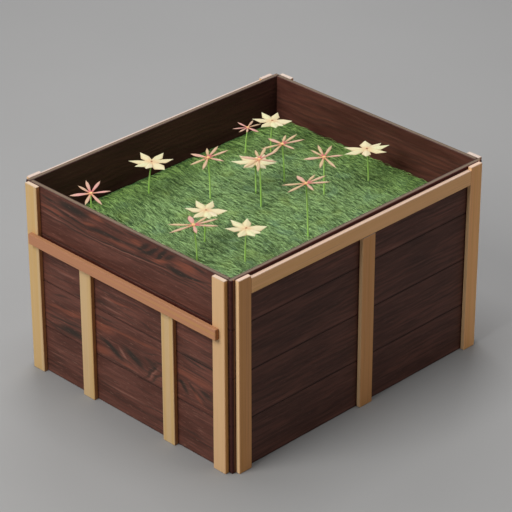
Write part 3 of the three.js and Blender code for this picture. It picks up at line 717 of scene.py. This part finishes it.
# Flowers: middle of the head (x, y, z) in millimetres, turn in degrees, size, lean of the stem, and how
# much further towards the first of its colours the tint of its petals is.
PINK_FLOWERS = (
    (-252, 137, 358, 25, 1, 0, 0.5), (-27, 88, 362, 346, 1, -3, 0), (145, 166, 333, 159, 0.72, 4, 0.4),
    (107, 42, 357, 330, 1, -4, -0.15), (15, 6, 373, 354, 1, -3, 0), (126, -40, 354, 24, 1, -1, -0.15),
    (-6, -125, 382.5, 312, 1, -4, 0), (-195, -52, 348, 300, 1.06, -5, 0.1),
)
CREAM_FLOWERS = (
    (-82, 172, 344, 338, 1, 6, 0), (178, 137, 345, 31, 1, 3, 0), (45, 46, 344, 89, 1, -1, 0),
    (215, -58, 345, 119, 1, -4, 0), (-138, -22, 343, 30, 1, 3, 0), (-138, -117, 345, 43, 1, 2, 0),
)
LEAN_TURN = math.radians(-45)        # every stem leans along this line
STEM_RADIUS = 1.5 * MM
STEM_TAPER = 0.2
STEM_STEPS = 14
STEM_SUNK = 22 * MM                  # below the top of the mat
STEM_INTO_EYE = 1.0 * MM             # how far below the middle of the head a stem ends
ROUND_SIDES = 10                     # of a stem, an eye and its grains
GOLDEN_ANGLE = math.radians(137.5)   # from one grain of an eye to the next
# The eyes of the two kinds: radius and height, how many grains, and the radius of a grain.
EYES = {"pink": (3.3 * MM, 3.4 * MM, 14, 0.6 * MM), "cream": (2.0 * MM, 2.6 * MM, 6, 0.5 * MM)}
# Outlines of the petals: (part of the reach, share of the half width).
PINK_HALF_WIDTH, PINK_THICK = 3.2 * MM, 1.9 * MM
PINK_OUTLINE = ((0.0, 0.42), (0.30, 0.68), (0.58, 1.0), (0.76, 0.82), (1.0, 0.0))
CREAM_HALF_WIDTH, CREAM_THICK, CREAM_DROP = 7.8 * MM, 0.9 * MM, 2.4 * MM
CREAM_OUTLINE = ((0.0, 0.50), (0.58, 1.0), (1.0, 0.0))
PETAL_RINGS = 14
PINK_SIDES = 12                      # of the ring round a pink petal
TINT_SPREAD = 0.15                   # from petal to petal, either way


def petal_axes(turn):
    """Outwards, across and up for a petal that points that way."""
    along = math.radians(turn)
    outwards = Vector((math.cos(along), math.sin(along), 0))
    return outwards, Vector((-outwards.y, outwards.x, 0)), Vector((0, 0, 1))


def fullness(outline, part):
    """The width at that part of a petal's length, as a share of its full width."""
    for (low, low_width), (high, high_width) in zip(outline, outline[1:]):
        if part <= high:
            return low_width + (high_width - low_width) * (part - low) / (high - low)
    return 0.0


def pink_petal(skin, middle, petal, turn, size):
    """A slim ribbon, widest past its middle and drawn to a point, with a faint keel on top."""
    petal_turn, reach, rise, breadth, tint, flush = petal
    outwards, across, up = petal_axes(turn + petal_turn)
    angles = [2 * math.pi * k / PINK_SIDES for k in range(PINK_SIDES)]
    rings = []
    for i in range(PETAL_RINGS):
        part = 0.02 + 0.96 * i / PETAL_RINGS
        full = fullness(PINK_OUTLINE, part)
        half = size * breadth * PINK_HALF_WIDTH * full
        thick = size * PINK_THICK / 2 * (0.35 + 0.65 * full)
        spine = middle + (outwards * reach + up * rise) * (size * part * MM)
        ring = []
        for angle in angles:
            keel = 1.0 + 0.4 * max(0.0, math.sin(angle)) ** 6
            ring.append(spine - across * (half * math.cos(angle)) + up * (thick * keel * math.sin(angle)))
        rings.append(ring)
    # The edge mark is 1 on the underside of the petal, which takes a painted shade.
    edges = [min(1.0, max(0.0, 1.0 - 1.6 * math.sin(angle))) for angle in angles]
    tip = middle + (outwards * reach + up * rise) * (size * MM)
    skin.body(rings, tint, tip, edges, flush)


def cream_petal(skin, middle, petal, turn, size):
    """A pointed kite, folded along its middle like a roof, thinner towards its edges."""
    petal_turn, reach, rise, breadth, tint, flush = petal
    outwards, across, up = petal_axes(turn + petal_turn)
    top = [(s, 1) for s in (-1, -0.66, -0.33, 0, 0.33, 0.66, 1)]
    under = [(s, -1) for s in (0.66, 0.33, 0, -0.33, -0.66)]
    rings = []
    for i in range(PETAL_RINGS):
        part = 0.03 + 0.95 * i / PETAL_RINGS
        full = fullness(CREAM_OUTLINE, part)
        spine = middle + (outwards * reach + up * rise) * (size * part * MM)
        half, drop = size * breadth * CREAM_HALF_WIDTH * full, size * CREAM_DROP * full
        ring = []
        for s, face in top + under:
            leaf = size * CREAM_THICK / 2 * (1 - 0.75 * abs(s)) * min(1.0, 0.25 + full)
            ring.append(spine + across * (half * s) + up * (face * leaf - drop * abs(s) ** 1.15))
        rings.append(ring[::-1])
    # The edge mark is 1 at the edges of the kite, which take a painted shade.
    edges = [abs(s) for s, _ in reversed(top + under)]
    tip = middle + (outwards * reach + up * rise) * (size * MM)
    skin.body(rings, tint, tip, edges, flush)


def circle(middle, radius, z=0.0):
    """A level ring of points round the middle, raised by z."""
    angles = [2 * math.pi * k / ROUND_SIDES for k in range(ROUND_SIDES)]
    return [middle + Vector((radius * math.cos(a), radius * math.sin(a), z)) for a in angles]


def stem(skin, foot, head, radius):
    """A thin stem: straight out of the ground, then bending gently to the head."""
    bend = Vector((foot.x, foot.y, (foot.z + head.z) / 2))
    rings = [circle(foot - Vector((0, 0, STEM_SUNK)), radius)]
    for i in range(STEM_STEPS + 1):
        part = i / STEM_STEPS
        point = foot * (1 - part) ** 2 + bend * (2 * part * (1 - part)) + head * part ** 2
        rings.append(circle(point, radius * (1 - STEM_TAPER * part)))
    skin.body(rings)


def dome(skin, middle, radius, low, high, tint):
    """A round button from low to high."""
    angles = [math.pi * i / 6 for i in range(1, 6)]
    rings = [
        circle(middle, radius * math.sin(angle), (low + high) / 2 - (high - low) / 2 * math.cos(angle))
        for angle in angles
    ]
    skin.body(rings, tint, middle + Vector((0, 0, high)))


def eye(skin, middle, radius, height, grains, grain_radius):
    """The middle of a head: a button with small grains set round it in a spiral."""
    dome(skin, middle, radius, -0.7 * height, 0.5 * height, 0.3)
    for k in range(grains):
        out = radius * 0.85 * math.sqrt((k + 0.5) / grains)
        angle = k * GOLDEN_ANGLE
        up = height * (0.5 - 0.35 * (out / radius) ** 2)
        place = middle + Vector((out * math.cos(angle), out * math.sin(angle), up))
        dome(skin, place, grain_radius, -grain_radius, grain_radius, 0.4 + 0.6 * (k % 3) / 2)


def petal_finish(name, colours):
    """Soft petals in three tints: a deeper throat, paler tips, and painted shade on the rim and underside.
    """
    petal = Finish(name)
    tint, reach, edge = petal.mark("tint"), petal.mark("reach"), petal.mark("edge")
    veins = petal.noise(petal.x * 700, petal.y * 700, petal.z * 300, detail=2)
    body = petal.mix(petal.step(tint, 0.0, 0.5), tone(colours["first"]), tone(colours["body"]))
    body = petal.mix(petal.step(tint, 0.5, 1.0), body, tone(colours["last"]))
    colour = petal.mix(petal.step(reach, 0.55, 1.0) * 0.5, body, tone(colours["tip"]))
    throat = petal.mix(petal.mark("flush"), tone(colours["throat"]), tone(colours["flush"]))
    colour = petal.mix(petal.step(reach, 0.42, 0.05), colour, throat)
    colour = petal.mix(petal.step(veins, 0.5, 0.8) * 0.25, colour, tone(colours["vein"]))
    # Painted shade on the rim and underside of a petal, after its edge mark.
    colour = petal.mix(petal.step(edge, 0.60, 1.0) * colours["rimmed"], colour, tone(colours["rim"]))
    return petal.surface(colour, 0.6 + 0.1 * veins, veins, depth=0.0001, strength=0.3)


def stem_finish():
    """Bright green with faint streaks along the stem."""
    green = Finish("flower_stem_green")
    streak = green.noise(green.x * 600, green.y * 600, green.z * 25, detail=2)
    colour = green.mix(green.step(streak, 0.35, 0.65), tone("#aee866"), tone("#d0fa90"))
    return green.surface(colour, 0.45 + 0.1 * streak, streak, depth=0.0001, strength=0.3)


def eye_finish(name, deep, light):
    """Powdery grains between a deep and a light tone."""
    grain = Finish(name)
    speck = grain.noise(grain.x * 900, grain.y * 900, grain.z * 900, detail=2)
    colour = grain.mix(grain.mark("tint"), tone(deep), tone(light))
    colour = grain.mix(grain.step(speck, 0.5, 0.75) * 0.4, colour, tone(deep))
    return grain.surface(colour, 0.7 + 0.1 * speck, speck, depth=0.0002, strength=0.5)


def flower(kind, number, spot, petals, grow, finishes):
    """One flower as three pieces, petals, stem and eye, which stand for its node."""
    x, y, z, turn, size, lean, blush = spot
    node = f"{kind}_flower_{number}"
    draw = random.Random(100 * len(kind) + number)
    head = Vector((x, y, z)) * MM
    foot = Vector((x - lean * math.cos(LEAN_TURN), y - lean * math.sin(LEAN_TURN), 0)) * MM
    foot.z = MAT_TOP
    head_skin, stem_skin, eye_skin = Skin(), Skin(), Skin()
    for *shape, tint, flush in petals:
        tint += draw.uniform(-TINT_SPREAD, TINT_SPREAD) - blush
        grow(head_skin, head, (*shape, tint, flush), turn, size)
    head_skin.piece(f"{node}_petals", finishes["petal"], f"{kind}_petal", node, crease=30)
    stem(stem_skin, foot, head - Vector((0, 0, STEM_INTO_EYE * size)), STEM_RADIUS)
    stem_skin.piece(f"{node}_stem", finishes["stem"], "flower_stem", node)
    radius, height, grains, grain_radius = EYES[kind]
    eye(eye_skin, head, radius * size, height * size, grains, grain_radius)
    eye_skin.piece(f"{node}_eye", finishes["eye"], "flower_eye", node)


def plant_flowers():
    """All flowers of both kinds, in their own tones."""
    green = stem_finish()
    pink = {
        "petal": petal_finish("pink_petals", {
            "first": "#b5817a", "body": "#ad8b72", "last": "#ac946d", "tip": "#b79f7e",
            "throat": "#b07c54", "flush": "#a84450", "vein": "#94604a", "rim": "#8e4230", "rimmed": 0.85,
        }),
        "stem": green,
        "eye": eye_finish("pink_flower_eye", "#d8a562", "#edcf98"),
    }
    cream = {
        "petal": petal_finish("cream_petals", {
            "first": "#bdbb92", "body": "#bdb38b", "last": "#c0b595", "tip": "#bebf9b",
            "throat": "#bda97f", "flush": "#b5885c", "vein": "#b29a72", "rim": "#9a7046", "rimmed": 0.5,
        }),
        "stem": green,
        "eye": eye_finish("cream_flower_eye", "#8a4a38", "#b07c5c"),
    }
    for number, spot in enumerate(PINK_FLOWERS, 1):
        flower("pink", number, spot, PINK_PETALS, pink_petal, pink)
    for number, spot in enumerate(CREAM_FLOWERS, 1):
        flower("cream", number, spot, CREAM_PETALS, cream_petal, cream)


# ---- studio ----

CAMERA_PLACE = Vector((-2.7135, -2.7333, 2.3248))
CAMERA_TURN = math.radians(45.20)    # from +X towards +Y
CAMERA_DOWN = math.radians(28.96)
CAMERA_ROLL = math.radians(-0.086)
CAMERA_LENS = 178.93                 # millimetres, on a sensor 36 wide
LIT_MIDDLE = Vector((0, 0, 0.2))     # where the lights look
# Square lights: name, azimuth from +X towards +Y, elevation, distance, width, watts, colour.
SOFTBOXES = (
    ("key", 175, 45, 3.2, 1.6, 77, (1.0, 0.98, 0.95)),
    ("top", 90, 84, 3.0, 1.8, 64, (1.0, 1.0, 1.0)),
    ("back", 45, 40, 3.2, 2.0, 50, (1.0, 0.99, 0.99)),
    ("fill", 300, 50, 3.2, 1.5, 15, (1.0, 0.97, 0.94)),
)
SKY_COLOUR, SKY_STRENGTH = (0.96, 0.98, 1.0, 1.0), 0.08
FLOOR_TONES = ("#868686", "#898989")
FLOOR_REACH = 20


def camera():
    """A long lens that looks down on the corner between the left and the front face."""
    data = bpy.data.cameras.new("camera")
    data.lens = CAMERA_LENS
    data.sensor_width = 36
    data.clip_end = 100
    made = bpy.data.objects.new("camera", data)
    look = Vector((
        math.cos(CAMERA_DOWN) * math.cos(CAMERA_TURN),
        math.cos(CAMERA_DOWN) * math.sin(CAMERA_TURN),
        -math.sin(CAMERA_DOWN),
    ))
    turn = look.to_track_quat("-Z", "Y").to_matrix().to_4x4()
    made.matrix_world = Matrix.Translation(CAMERA_PLACE) @ turn @ Matrix.Rotation(CAMERA_ROLL, 4, "Z")
    bpy.context.scene.collection.objects.link(made)
    bpy.context.scene.camera = made


def softbox(name, azimuth, elevation, distance, width, watts, colour):
    """A square light that looks at the middle of the box."""
    data = bpy.data.lights.new(name, "AREA")
    data.shape = "SQUARE"
    data.size = width
    data.energy = watts
    data.color = colour
    made = bpy.data.objects.new(name, data)
    a, e = math.radians(azimuth), math.radians(elevation)
    out = Vector((math.cos(a) * math.cos(e), math.sin(a) * math.cos(e), math.sin(e)))
    made.location = LIT_MIDDLE + out * distance
    made.rotation_euler = out.to_track_quat("Z", "Y").to_euler()
    bpy.context.scene.collection.objects.link(made)


def floor():
    """A plain pale floor, which goes out of sight on all sides."""
    finish = Finish("studio_floor")
    cloud = finish.noise(finish.x * 3, finish.y * 3, 0.0)
    material = finish.surface(finish.mix(cloud, *[tone(code) for code in FLOOR_TONES]), 0.8)
    mesh = bpy.data.meshes.new("floor")
    corners = [(FLOOR_REACH * x, FLOOR_REACH * y, 0) for x, y in ((-1, -1), (1, -1), (1, 1), (-1, 1))]
    mesh.from_pydata(corners, [], [(0, 1, 2, 3)])
    mesh.materials.append(material)
    made = bpy.data.objects.new("floor", mesh)
    bpy.context.scene.collection.objects.link(made)


def studio():
    """Soft light from four sides and a dim sky over the floor."""
    scene = bpy.context.scene
    scene.view_settings.view_transform = "Standard"
    world = bpy.data.worlds.new("studio")
    world.use_nodes = True
    background = world.node_tree.nodes["Background"]
    background.inputs["Color"].default_value = SKY_COLOUR
    background.inputs["Strength"].default_value = SKY_STRENGTH
    scene.world = world
    for light in SOFTBOXES:
        softbox(*light)
    floor()


camera()
studio()
dress_wood()
turf_mat()
turf_blades()
plant_flowers()
